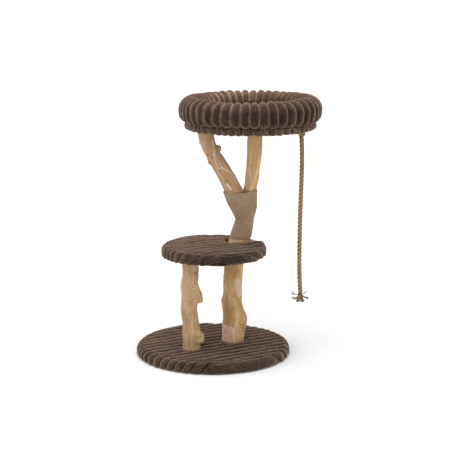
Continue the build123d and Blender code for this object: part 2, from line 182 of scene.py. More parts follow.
def place(piece, body, slot, *replaced):
    """Puts a piece on its body and hides the CAD nodes that it stands for; slot is not used."""
    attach(piece, body)
    if replaced:
        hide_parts(*replaced)
    return piece


# ---------------- materials


class Nodes:
    """Short ways to add and join a material's nodes."""

    def __init__(self, name):
        self.material = bpy.data.materials.new(name)
        self.material.use_nodes = True
        self.tree = self.material.node_tree
        self.shader = self.tree.nodes["Principled BSDF"]

    def add(self, kind, **settings):
        node = self.tree.nodes.new(kind)
        for key, value in settings.items():
            if key.startswith("_"):
                setattr(node, key[1:], value)
            else:
                node.inputs[key.replace("_", " ")].default_value = value
        return node

    def join(self, source, target):
        self.tree.links.new(source, target)

    def math(self, operation, a, b=0.0):
        node = self.tree.nodes.new("ShaderNodeMath")
        node.operation = operation
        for socket, value in zip(node.inputs, (a, b)):
            if isinstance(value, bpy.types.NodeSocket):
                self.join(value, socket)
            else:
                socket.default_value = value
        return node.outputs[0]

    def mix(self, amount, a, b, blend="MIX"):
        """The colour a turned into b by amount, each a colour or a socket."""
        node = self.tree.nodes.new("ShaderNodeMix")
        node.data_type = "RGBA"
        node.blend_type = blend
        sockets = (node.inputs[0], node.inputs[6], node.inputs[7])
        for socket, value in zip(sockets, (amount, a, b)):
            if isinstance(value, bpy.types.NodeSocket):
                self.join(value, socket)
            elif isinstance(value, tuple):
                socket.default_value = (*value, 1)
            else:
                socket.default_value = value
        return node.outputs[2]

    def ramp(self, value, *stops):
        """A colour ramp of (place, colour) stops."""
        node = self.tree.nodes.new("ShaderNodeValToRGB")
        line = node.color_ramp
        while len(line.elements) < len(stops):
            line.elements.new(0.5)
        for element, (where, colour) in zip(line.elements, stops):
            element.position = where
            element.color = (*colour, 1) if isinstance(colour, tuple) else (colour, colour, colour, 1)
        self.join(value, node.inputs[0])
        return node.outputs[0]

    def shaded(self, colour, amount, value, *stops):
        """A colour multiplied by a ramp of (place, brightness) stops, by amount."""
        return self.mix(amount, colour, self.ramp(value, *stops), "MULTIPLY")

    def value(self, name):
        """A float stored on the mesh."""
        return self.add("ShaderNodeAttribute", _attribute_name=name).outputs["Fac"]

    def vector(self, name):
        """A vector stored on the mesh."""
        return self.add("ShaderNodeAttribute", _attribute_name=name).outputs["Vector"]

    def place(self):
        """The point on the object, in metres."""
        return self.add("ShaderNodeTexCoord").outputs["Object"]

    def scaled(self, vector, scale):
        node = self.add("ShaderNodeMapping")
        node.inputs["Scale"].default_value = scale
        self.join(vector, node.inputs["Vector"])
        return node.outputs[0]

    def noise(self, vector, scale, detail=3.0, roughness=0.55, distortion=0.0):
        node = self.add(
            "ShaderNodeTexNoise", Scale=scale, Detail=detail, Roughness=roughness, Distortion=distortion
        )
        self.join(vector, node.inputs["Vector"])
        return node.outputs["Fac"]

    def bump(self, height, distance, strength=1.0, before=None):
        node = self.add("ShaderNodeBump", Strength=strength, Distance=distance)
        self.join(height, node.inputs["Height"])
        if before is not None:
            self.join(before, node.inputs["Normal"])
        return node.outputs[0]

    def finish(self, colour, roughness, normal=None, **constants):
        for value, name in ((colour, "Base Color"), (roughness, "Roughness")):
            if isinstance(value, bpy.types.NodeSocket):
                self.join(value, self.shader.inputs[name])
            elif isinstance(value, tuple):
                self.shader.inputs[name].default_value = (*value, 1)
            else:
                self.shader.inputs[name].default_value = value
        if normal is not None:
            self.join(normal, self.shader.inputs["Normal"])
        for name, value in constants.items():
            self.shader.inputs[name.replace("_", " ")].default_value = value
        return self.material


def plush_material(name, *stops):
    """Short-pile plush, its colour from a rib's crest at stop 0 to the crease beside it at 1; the stops
    give painted sheen, a pale line on a rib's flank, and painted shade down in its crease.
    """
    n = Nodes(name)
    spot = n.place()
    nap = n.noise(spot, 24, 3, 0.6, 0.8)
    tuft = n.noise(spot, 300, 3, 0.65)
    fibre = n.noise(n.scaled(spot, (1, 1, 0.5)), 1500, 2, 0.7)
    ragged = n.math("MULTIPLY", n.math("SUBTRACT", tuft, 0.5), 0.34)
    face = n.ramp(n.math("ADD", n.value("rib"), ragged), *stops)
    colour = n.shaded(
        face, 0.85, nap, (0.32, (0.62, 0.6, 0.59)), (0.55, (1.0, 1.0, 1.0)), (0.75, (1.5, 1.47, 1.45))
    )
    colour = n.shaded(colour, 0.8, fibre, (0.3, 0.68), (0.72, 1.35))
    clump = n.noise(spot, 120, 3, 0.7, 0.6)
    colour = n.shaded(colour, 0.8, clump, (0.34, 0.5), (0.66, 1.5))
    # tone: random tone, multiplied by the painted light and shade that a deck or the ring stores in it
    colour = n.mix(1.0, colour, n.value("tone"), "MULTIPLY")
    soft = n.bump(tuft, 0.0026, 0.6)
    pile = n.bump(fibre, 0.0010, 0.8, soft)
    sheen = {"Sheen_Weight": PILE_SHEEN, "Sheen_Roughness": 0.36, "Sheen_Tint": (0.93, 0.66, 0.49, 1)}
    return n.finish(colour, 0.95, pile, Specular_IOR_Level=0.12, **sheen)


def wood_material(name, light, middle, dark, patch, patch_at=(0.62, 0.7)):
    """Peeled wood: blotched along the log, with fine fibres, worn pale patches, knots and cuts."""
    n = Nodes(name)
    grain = n.vector("grain")
    spot = n.place()
    blotch = n.noise(n.scaled(grain, (1, 1, 0.26)), 34, 4, 0.6, 0.7)
    streak = n.noise(n.scaled(grain, (1, 1, 0.08)), 170, 4, 0.6, 0.3)
    hair = n.noise(n.scaled(grain, (1, 1, 0.05)), 620, 3, 0.6)
    worn = n.noise(n.scaled(grain, (1, 1, 0.3)), 19, 3, 0.6, 0.9)
    speck = n.noise(spot, 210, 3, 0.7)
    colour = n.ramp(blotch, (0.32, dark), (0.5, middle), (0.68, light))
    colour = n.shaded(colour, 0.45, streak, (0.3, 0.76), (0.62, 1.1))
    colour = n.shaded(colour, 0.6, hair, (0.3, 0.84), (0.7, 1.12))
    colour = n.mix(n.ramp(worn, (patch_at[0], 0.0), (patch_at[1], 0.6)), colour, patch)
    colour = n.shaded(colour, 0.5, speck, (0.34, (0.66, 0.56, 0.46)), (0.5, (1.0, 1.0, 1.0)))
    cut = n.noise(spot, 300, 4, 0.75)
    sawn = n.ramp(cut, (0.36, (0.34, 0.17, 0.09)), (0.47, (0.80, 0.50, 0.33)), (0.64, (0.98, 0.78, 0.60)))
    colour = n.mix(n.value("chop"), colour, sawn)
    colour = n.mix(n.value("pale"), colour, (0.86, 0.72, 0.58))
    # knot: dark knots, and the dents of torn wood made darker
    colour = n.mix(n.value("knot"), colour, (0.10, 0.045, 0.02))
    height = n.math("ADD", n.math("MULTIPLY", hair, 0.5), streak)
    rough = n.bump(height, 0.0010, 0.7)
    rough = n.bump(speck, 0.0012, 0.6, rough)
    return n.finish(colour, n.ramp(streak, (0.3, 0.82), (0.7, 0.62)), rough, Specular_IOR_Level=0.3)


def weave_material(name, dark, light, yarn):
    """Plain-woven jute: thick and thin yarns over and under each other, in cloth coordinates, with painted
    shade where the yarns dip.
    """
    n = Nodes(name)
    cloth = n.vector("cloth")
    uneven = n.noise(cloth, 90, 2, 0.5)
    parts = n.add("ShaderNodeSeparateXYZ")
    n.join(cloth, parts.inputs[0])

    def wave(spot, offset):
        turns = n.math("ADD", n.math("MULTIPLY", spot, pi / yarn), offset)
        return n.math("SINE", n.math("ADD", turns, n.math("MULTIPLY", uneven, 2.2)))

    across = n.math("ABSOLUTE", wave(parts.outputs[0], 0.0))
    down = n.math("ABSOLUTE", wave(parts.outputs[1], 0.6))
    over = n.math("MULTIPLY", wave(parts.outputs[0], 0.0), wave(parts.outputs[1], 0.6))
    side = n.ramp(n.math("ADD", n.math("MULTIPLY", over, 0.5), 0.5), (0.42, 0.0), (0.58, 1.0))
    under = n.math("MULTIPLY", down, n.math("SUBTRACT", 1.0, side))
    height = n.math("ADD", n.math("MULTIPLY", across, side), under)
    slub = n.noise(n.scaled(cloth, (40, 420, 1)), 1.0, 3, 0.6)
    slub_down = n.noise(n.scaled(cloth, (420, 40, 1)), 1.0, 3, 0.6)
    fibre = n.noise(n.place(), 1100, 2, 0.7)
    cloud = n.noise(n.place(), 22, 3, 0.6)
    tone = n.math("ADD", n.math("MULTIPLY", slub, 0.5), n.math("MULTIPLY", slub_down, 0.5))
    colour = n.ramp(tone, (0.28, dark), (0.72, light))
    # painted shade where the yarns dip under each other
    colour = n.shaded(colour, 0.85, height, (0.15, 0.5), (0.75, 1.08))
    colour = n.shaded(colour, 0.6, fibre, (0.3, 0.8), (0.7, 1.18))
    colour = n.shaded(colour, 0.6, cloud, (0.35, 0.82), (0.68, 1.12))
    woven = n.bump(height, 0.0007, 0.9)
    woven = n.bump(fibre, 0.0004, 0.6, woven)
    return n.finish(colour, 0.92, woven, Sheen_Weight=0.12, Sheen_Roughness=0.5, Specular_IOR_Level=0.2)


def yarn_material(name, dark, light):
    """Twisted jute fibre, with fine threads that wind along each strand, painted shade down in the grooves
    between strands and painted light on their crests.
    """
    n = Nodes(name)
    yarn = n.vector("yarn")
    thread = n.noise(n.scaled(yarn, (1, 1, 0.12)), 900, 3, 0.6)
    shade = n.value("groove")
    patch = n.noise(n.place(), 60, 3, 0.6)
    colour = n.ramp(thread, (0.3, dark), (0.68, light))
    colour = n.shaded(colour, 0.7, patch, (0.3, 0.8), (0.7, 1.15))
    colour = n.shaded(colour, 1.0, shade, (0.0, 0.07), (0.5, 0.62), (1.0, 1.3))
    fine = n.bump(thread, 0.0006, 0.9)
    return n.finish(colour, 0.88, fine, Sheen_Weight=0.15, Sheen_Roughness=0.5, Specular_IOR_Level=0.25)


def cloth_material(name, low, high, scale, roughness=0.95, depth=0.0005):
    """Plain matted cloth such as felt, foam or tape."""
    n = Nodes(name)
    tangle = n.noise(n.place(), scale, 4, 0.7)
    cloud = n.noise(n.place(), scale / 30, 2, 0.5)
    colour = n.shaded(n.ramp(tangle, (0.3, low), (0.7, high)), 0.4, cloud, (0.3, 0.8), (0.7, 1.15))
    return n.finish(colour, roughness, n.bump(tangle, depth, 0.8), Specular_IOR_Level=0.2)


def board_material(name):
    """Sanded plywood: a broad figure on its faces and thin dark plies on its edge."""
    n = Nodes(name)
    spot = n.place()
    figure = n.noise(n.scaled(spot, (1, 0.12, 1)), 60, 4, 0.6, 1.2)
    plies = n.add("ShaderNodeTexWave", Scale=95.0, Distortion=0.6, Detail=1.0, _bands_direction="Z")
    n.join(spot, plies.inputs["Vector"])
    colour = n.ramp(figure, (0.3, (0.36, 0.23, 0.12)), (0.7, (0.55, 0.39, 0.23)))
    colour = n.shaded(colour, 0.4, plies.outputs["Fac"], (0.3, 0.62), (0.6, 1.1))
    return n.finish(colour, 0.7, n.bump(figure, 0.0004, 0.5), Specular_IOR_Level=0.3)


def steel_material(name):
    """Zinc-plated steel with a faint brushed and blotched finish."""
    n = Nodes(name)
    spot = n.place()
    brushed = n.noise(n.scaled(spot, (1, 1, 12)), 420, 3, 0.6)
    blotch = n.noise(spot, 90, 3, 0.6)
    colour = n.ramp(blotch, (0.3, (0.42, 0.42, 0.4)), (0.7, (0.62, 0.62, 0.6)))
    shine = n.ramp(brushed, (0.3, 0.28), (0.7, 0.48))
    return n.finish(colour, shine, n.bump(brushed, 0.0001, 0.4), Metallic=1.0)


# The plush's stops: crest, face, a pale line of painted sheen on the flank, then painted shade darkening
# into the crease.
PLUSH = plush_material(
    "plush",
    (0.0, (0.070, 0.045, 0.033)),
    (0.42, (0.052, 0.033, 0.024)),
    (0.68, (0.086, 0.057, 0.043)),
    (0.85, (0.026, 0.016, 0.012)),
    (1.0, (0.010, 0.006, 0.005)),
)
# The same plush on the ring, with its own painted light: a much brighter line of painted sheen at 0.85 and
# painted shade in the crease beyond it.
RING_PLUSH = plush_material(
    "ring_plush",
    (0.0, (0.046, 0.028, 0.020)),
    (0.48, (0.040, 0.025, 0.018)),
    (0.68, (0.075, 0.049, 0.037)),
    (0.85, (0.27, 0.195, 0.15)),
    (1.0, (0.010, 0.006, 0.005)),
)
STEM_WOOD = wood_material(
    "stem_wood", (0.80, 0.52, 0.27), (0.62, 0.37, 0.165), (0.44, 0.235, 0.09), (0.82, 0.60, 0.40)
)
POST_WOOD = wood_material(
    "post_wood", (0.66, 0.46, 0.26), (0.54, 0.355, 0.19), (0.42, 0.255, 0.125), (0.70, 0.54, 0.37)
)
PALE_WOOD = wood_material(
    "pale_wood", (0.59, 0.38, 0.21), (0.465, 0.285, 0.147), (0.34, 0.19, 0.09), (0.70, 0.55, 0.41),
    patch_at=(0.6, 0.7),
)
JUTE = weave_material("jute_cloth", (0.31, 0.205, 0.125), (0.58, 0.40, 0.26), 0.0021)
ROPE = yarn_material("jute_rope", (0.19, 0.11, 0.052), (0.365, 0.235, 0.125))
FELT = cloth_material("felt", (0.03, 0.026, 0.024), (0.075, 0.068, 0.062), 900)
FOAM = cloth_material("foam", (0.5, 0.43, 0.29), (0.72, 0.65, 0.47), 700)
TAPE = cloth_material("hook_and_loop", (0.012, 0.011, 0.01), (0.05, 0.046, 0.042), 1600, 0.8, 0.0008)
BOARD = board_material("plywood")
STEEL = steel_material("zinc_steel")
BED_CLOTH = cloth_material("bed_cloth", (0.045, 0.030, 0.022), (0.105, 0.072, 0.055), 700)

FINISHES = {
    "board": BOARD, "plush": PLUSH, "felt": FELT, "foam": FOAM, "steel": STEEL,
    "timber": STEM_WOOD, "pale_timber": PALE_WOOD, "jute": JUTE, "tape": TAPE, "rope": ROPE,
}
for part in frame["record"]["subparts"]:
    finish = BED_CLOTH if part["node"] == "bed_floor" else FINISHES[part["material_slot"]]
    materials = NODES[part["node"]].data.materials
    materials.clear()
    materials.append(finish)


# ---------------- camera

CAMERA_AT = (0.054976, -4.28279, 1.28472)
CAMERA_TILT = 78.4233
CAMERA_LENS = 106.73

camera = add_object("camera", bpy.data.cameras.new("camera"))
camera.location = CAMERA_AT
camera.rotation_euler = (radians(CAMERA_TILT), 0, 0)
camera.data.lens = CAMERA_LENS
camera.data.clip_end = 200
bpy.context.scene.camera = camera


# ---------------- rope

ROPE_TOP = (281.0, 0.0, 715.5)  # the knot's centre
ROPE_ROUTE = [
    (0.0, 0.0, -6.0), (1.8, 0.4, -40.0), (2.6, -1.0, -88.0),
    (1.0, -2.6, -160.0), (-1.4, -1.4, -240.0), (-2.6, 1.4, -330.0),
    (-3.0, 2.4, -410.0), (-1.4, 1.2, -472.0), (1.6, 0.0, -517.0),
]
STRANDS = 3
STRAND_OUT = 4.0  # from the rope's line to each strand's
STRAND_R = 3.7
# GROOVE also places the painted shade: darkest within the first distance, gone past the second
GROOVE = (4.2, 7.5)  # how far from the rope's line its grooves are deepest, and end
LAY = 39.0  # length of one turn of the strands
YARN_TWIST = 0.35  # radians that a strand's yarns wind in each millimetre
ROPE_STEP, KNOT_STEP, TAIL_STEP = 1.6, 1.2, 1.3  # gaps between the points along each
KNOT_STRAND_OUT, KNOT_STRAND_R = 2.7, 2.75


def nurbs_line(points, name):
    """Points along the NURBS curve of these control points, in millimetres."""
    curve = bpy.data.curves.new(name, "CURVE")
    curve.dimensions = "3D"
    curve.resolution_u = 24
    spline = curve.splines.new("NURBS")
    spline.points.add(len(points) - 1)
    for target, point in zip(spline.points, points):
        target.co = (*(c * MM for c in point), 1)
    spline.order_u = 3
    spline.use_endpoint_u = True
    holder = bpy.data.objects.new(name, curve)
    mesh = bpy.data.meshes.new_from_object(holder)
    line = points_of(mesh)
    bpy.data.objects.remove(holder)
    bpy.data.meshes.remove(mesh)
    return line


def along(line, gap):
    """The line's points at an even gap, with the length to each."""
    length = run_lengths(line)
    places = np.linspace(0, length[-1], int(length[-1] / gap) + 1)
    return np.stack([np.interp(places, length, line[:, i]) for i in range(3)], 1), places


def frames(line):
    """Two directions square to the line at each point, which don't spin along it."""
    ahead = np.gradient(line, axis=0)
    ahead /= np.linalg.norm(ahead, axis=1)[:, None]
    side = np.cross(ahead[0], (0.31, 0.77, 0.55))
    sides = []
    for way in ahead:
        side = side - way * side.dot(way)
        side = side / np.linalg.norm(side)
        sides.append(side)
    sides = np.array(sides)
    return sides, np.cross(ahead, sides)


def tube(line, radius, corners, groove=None, seed=0):
    """Points, faces and yarn values of a round tube along a line."""
    line = np.asarray(line, float)
    u, v = frames(line)
    radius = np.broadcast_to(np.asarray(radius, float), (len(line),))
    turn = full_turn(corners)
    out = u[:, None] * np.cos(turn)[None, :, None] + v[:, None] * np.sin(turn)[None, :, None]
    points = line[:, None] + out * radius[:, None, None]
    run = run_lengths(line)
    spin = turn[None, :] + run[:, None] * YARN_TWIST
    run = np.broadcast_to(run[:, None], spin.shape)
    yarn = np.stack([np.cos(spin) * 3 + seed, np.sin(spin) * 3, run], 2)
    shade = np.ones(spin.shape) if groove is None else groove(points.reshape(-1, 3)).reshape(spin.shape)
    faces = ring_faces(len(line), corners)
    points, yarn, shade = points.reshape(-1, 3), yarn.reshape(-1, 3) * MM, shade.ravel()
    last = len(points)
    points = np.concatenate([points, line[[0]], line[[-1]]])
    yarn = np.concatenate([yarn, yarn[[0, -1]]])
    shade = np.concatenate([shade, shade[[0, -1]]])
    start = last - corners
    for j in range(corners):
        k = (j + 1) % corners
        faces.append((k, j, last))
        faces.append((start + j, start + k, last + 1))
    return points, faces, yarn, shade


def joined(tubes):
    """Several tubes as one set of points, faces and values."""
    points, faces, yarn, shade, base = [], [], [], [], 0
    for p, f, y, s in tubes:
        points.append(p)
        faces += [tuple(i + base for i in face) for face in f]
        yarn.append(y)
        shade.append(s)
        base += len(p)
    return np.concatenate(points), faces, {"yarn": np.concatenate(yarn), "groove": np.concatenate(shade)}


def strand_lines(line, places, out, start=0.0, lay=LAY):
    """The lines of strands laid round a rope's line."""
    u, v = frames(line)
    lines = []
    for k in range(STRANDS):
        turn = start + 2 * pi * (k / STRANDS + places / lay)
        lines.append(line + out * (u * np.cos(turn)[:, None] + v * np.sin(turn)[:, None]))
    return lines


def make_rope():
    """The rope's three laid strands, its knot and its unlaid end."""
    top = np.array(ROPE_TOP)
    whole = nurbs_line([top + np.array(p) for p in ROPE_ROUTE], "rope_route")
    line, places = along(whole, ROPE_STEP)

    # groove: painted shade, darkest down in the grooves between the strands
    def groove(points):
        nearest = np.abs(points[:, None, 2] - line[None, ::4, 2]).argmin(1)
        away = np.linalg.norm((points - line[::4][nearest])[:, :2], axis=1)
        return step(*GROOVE, away)

    wobble = 1 + 0.05 * lattice(line, 14.0, 3)
    strands = strand_lines(line, places, STRAND_OUT)
    tubes = []
    for k, strand in enumerate(strands):
        strand = strand + 0.16 * wander(strand, 9.0, 20 + 3 * k)
        tubes.append(tube(strand, STRAND_R * wobble, 14, groove, 9 * k))
    points, faces, values = joined(tubes)
    rope = new_piece("rope_strands", points, faces, ROPE, values)
    place(rope, "rope", "rope", "rope_line")

    fray = make_fray(strands)
    knot = make_knot(top)


# Each tail of the rope's end: the strand that it leaves, its turn, how far out and down it goes,
# how much its tip curls up, its thickness and how many yarns it has.
TAILS = [
    (0, 182, 33, 1, 12, 1.9, 5),
    (0, 200, 31, 13, 4, 4.8, 15),
    (1, 238, 14, 24, 4, 4.4, 13),
    (2, 300, 13, 25, 3, 4.4, 13),
    (1, 352, 30, 10, -6, 4.8, 15),
    (2, 75, 18, 13, 2, 4.2, 11),
    (2, 20, 20, -1, 6, 1.2, 3),
]


def make_fray(strands):
    """The rope's unlaid end: thick tails of loose yarns that bend out and curl."""
    rng = np.random.default_rng(5)
    tubes = []
    for number, (strand, turn, out, down, curl, thick, yarns) in enumerate(TAILS):
        way = np.array([cos(radians(turn)), sin(radians(turn)), 0])
        aside = np.array([-way[1], way[0], 0])
        start = strands[strand][-1]
        for i in range(yarns):
            loose = rng.normal(0, 1, 3) * (0.3 + 0.22 * thick)
            spread = rng.uniform(0.8, 1.06)
            first = start + (way * loose[0] + aside * loose[1]) * 0.8
            lifted = UP * loose[2] * 0.8
            reach = way * out * spread
            points = [
                first + UP * 5,
                first - UP * 2,
                first + 0.28 * reach + 0.7 * aside * loose[1] - UP * (max(down, 3) * 0.6 + 2),
                first + 0.7 * reach + aside * loose[1] + lifted - UP * (down + 3),
                first + reach + 1.5 * aside * loose[1] + 1.6 * lifted + UP * (0.4 * curl - down),
                first + 0.98 * reach + 1.8 * aside * loose[0] + 2 * lifted + UP * (curl - down),
            ]
            line, places = along(nurbs_line(points, "tail"), TAIL_STEP)
            part = places / places[-1]
            shiver = 0.5 * part[:, None] * wander(line, 6.0, 60 + 20 * number + 3 * i)
            radius = (0.55 + 0.16 * thick) * rng.uniform(0.8, 1.15) * (1.0 - 0.6 * step(0.75, 1.0, part))
            tubes.append(tube(line + shiver, radius, 7, None, number + i))
    points, faces, values = joined(tubes)
    values["groove"] = 0.74 + 0.3 * lattice(points, 4.0, 41)
    fray = new_piece("rope_tails", points, faces, ROPE, values)
    return place(fray, "rope", "rope", "rope_fray")


def make_knot(top):
    """The overhand knot under the seat, drawn up tight and wider where it meets the plush."""
    turn = full_turn(160)
    reach = 6.2 + 2.5 * np.cos(3 * turn)
    loop = np.stack([reach * np.cos(2 * turn), reach * np.sin(2 * turn), 5.0 * np.sin(3 * turn)], 1)
    loop = top + np.concatenate([loop, loop[:1]]) + (0, 0, 0.8)
    line, places = along(loop, KNOT_STEP)
    tubes = []
    for k, strand in enumerate(strand_lines(line, places, KNOT_STRAND_OUT, 0.4, places[-1] / 4)):
        tubes.append(tube(strand, KNOT_STRAND_R, 10, None, 30 + 5 * k))
    points, faces, values = joined(tubes)
    shrink = 1 - 0.4 * (1 - step(-12, 6, points[:, 2] - top[2]))
    points[:, :2] = top[:2] + (points[:, :2] - top[:2]) * shrink[:, None]
    away = np.linalg.norm(points - top, axis=1)
    # painted shade in the middle of the knot, lighter outwards
    values["groove"] = step(4.0, 12.5, away)
    knot = new_piece("rope_top_knot", points, faces, ROPE, values)
    return place(knot, "knot", "rope", "rope_knot")


make_rope()


# ---------------- ribbed plush

RIB_WAY = radians(30)  # the ribs' direction on the decks
RIB_PITCH = 30.0
RIB_START = 0.35  # where the pattern of ribs starts, as a share of the pitch
ACROSS = np.array([-sin(RIB_WAY), cos(RIB_WAY)])


def rib_shape(turns):
    """(0 on a rib's crest to 1 in the crease beside it, how far the cloth has fallen there)."""
    t = np.abs(2 * (turns - np.floor(turns)) - 1)
    return t, 1 - np.sqrt(np.maximum(1 - 0.99 * t**2.1, 0))


def rim_profile(radius, low, high, top_r, bottom_r, hem_r, gap):
    """(r, z, length from the centre) down a deck's rim, from its top face to its inner hem."""
    rows = []
    for a in np.linspace(0, pi / 2, max(4, int(top_r * 1.6 / gap))):
        rows.append((radius - top_r + top_r * sin(a), high - top_r + top_r * cos(a)))
    side_rows = max(2, int((high - low - top_r - bottom_r) / gap))
    for z in np.linspace(high - top_r, low + bottom_r, side_rows)[1:]:
        rows.append((radius, z))
    for a in np.linspace(0, pi / 2, max(4, int(bottom_r * 1.6 / gap)))[1:]:
        rows.append((radius - bottom_r + bottom_r * cos(a), low + bottom_r - bottom_r * sin(a)))
    for r in np.linspace(radius - bottom_r, hem_r, max(3, int((radius - bottom_r - hem_r) / gap)))[1:]:
        rows.append((r, low))
    rows.append((hem_r - 0.5, low + 1.2))
    rows.append((hem_r - 0.5, low + 2.4))
    rows = np.array(rows)
    return rows, radius - top_r + run_lengths(rows)


HOLE_ROUND = 7.0  # radius of the cover's roll into a hole
HOLE_DIP = 9.0  # how far the plush sinks beside a hole, on the deck's outer side
FOOT_DIP = 4.5  # how far a post's foot presses the plush down


def deck_grid(centre, radius, low, high, hem_r, top_r, bottom_r, hole, edge, lean, columns, gap):
    """A deck's rows of points, from its middle or its hole to its hem.

    Gives the points, their places on the flat cloth, their outward directions, how far each is on
    top (1) or down the rim (0), and how many rows there are.
    """
    ring = directions(full_turn(columns))
    middle = np.zeros(2) if hole is None else np.array(hole[:2]) - centre
    inner = 1.0 if hole is None else hole[2] + HOLE_ROUND
    rows = []

    def add_row(xy, z, flat, sideways, up, on_top):
        rows.append((at_height(xy, z), flat, at_height(sideways * ring, up), np.full(columns, on_top)))

    if hole is not None:
        round_low = high - HOLE_ROUND
        down = []
        for a in np.linspace(0, pi / 2, 6)[1:]:
            down.append((inner - HOLE_ROUND * sin(a), round_low + HOLE_ROUND * cos(a), sin(a), cos(a)))
        for z in np.linspace(round_low, low + 4, 8)[1:]:
            down.append((hole[2], z, 1.0, 0.0))
        for r, z, sideways, up in reversed(down):
            xy = middle + r * ring
            stretch = middle + (2 * inner - r - max(round_low - z, 0)) * ring
            add_row(xy, z, (xy + stretch) / 2, -sideways, up, 0.6)
    top_rows = int((radius - top_r + np.linalg.norm(middle)) / gap)
    for share in np.linspace(0, 1, top_rows)[:-1]:
        xy = (1 - share) * (middle + inner * ring) + share * (radius - top_r) * ring
        add_row(xy, high, xy, 0.0, 1.0, 1.0)
    rim, lengths = rim_profile(radius, low, high, top_r, bottom_r, hem_r, gap)
    slope = np.gradient(rim, axis=0)
    slope /= np.linalg.norm(slope, axis=1)[:, None]
    for (r, z), length, (dr, dz) in zip(rim, lengths, slope):
        flat_r = min(length, edge) + lean * max(length - edge, 0)
        add_row(r * ring, z, flat_r * ring, -dz, dr, np.clip((z - high + top_r) / top_r, 0, 1))
    return *(np.concatenate(column) for column in zip(*rows)), len(rows)


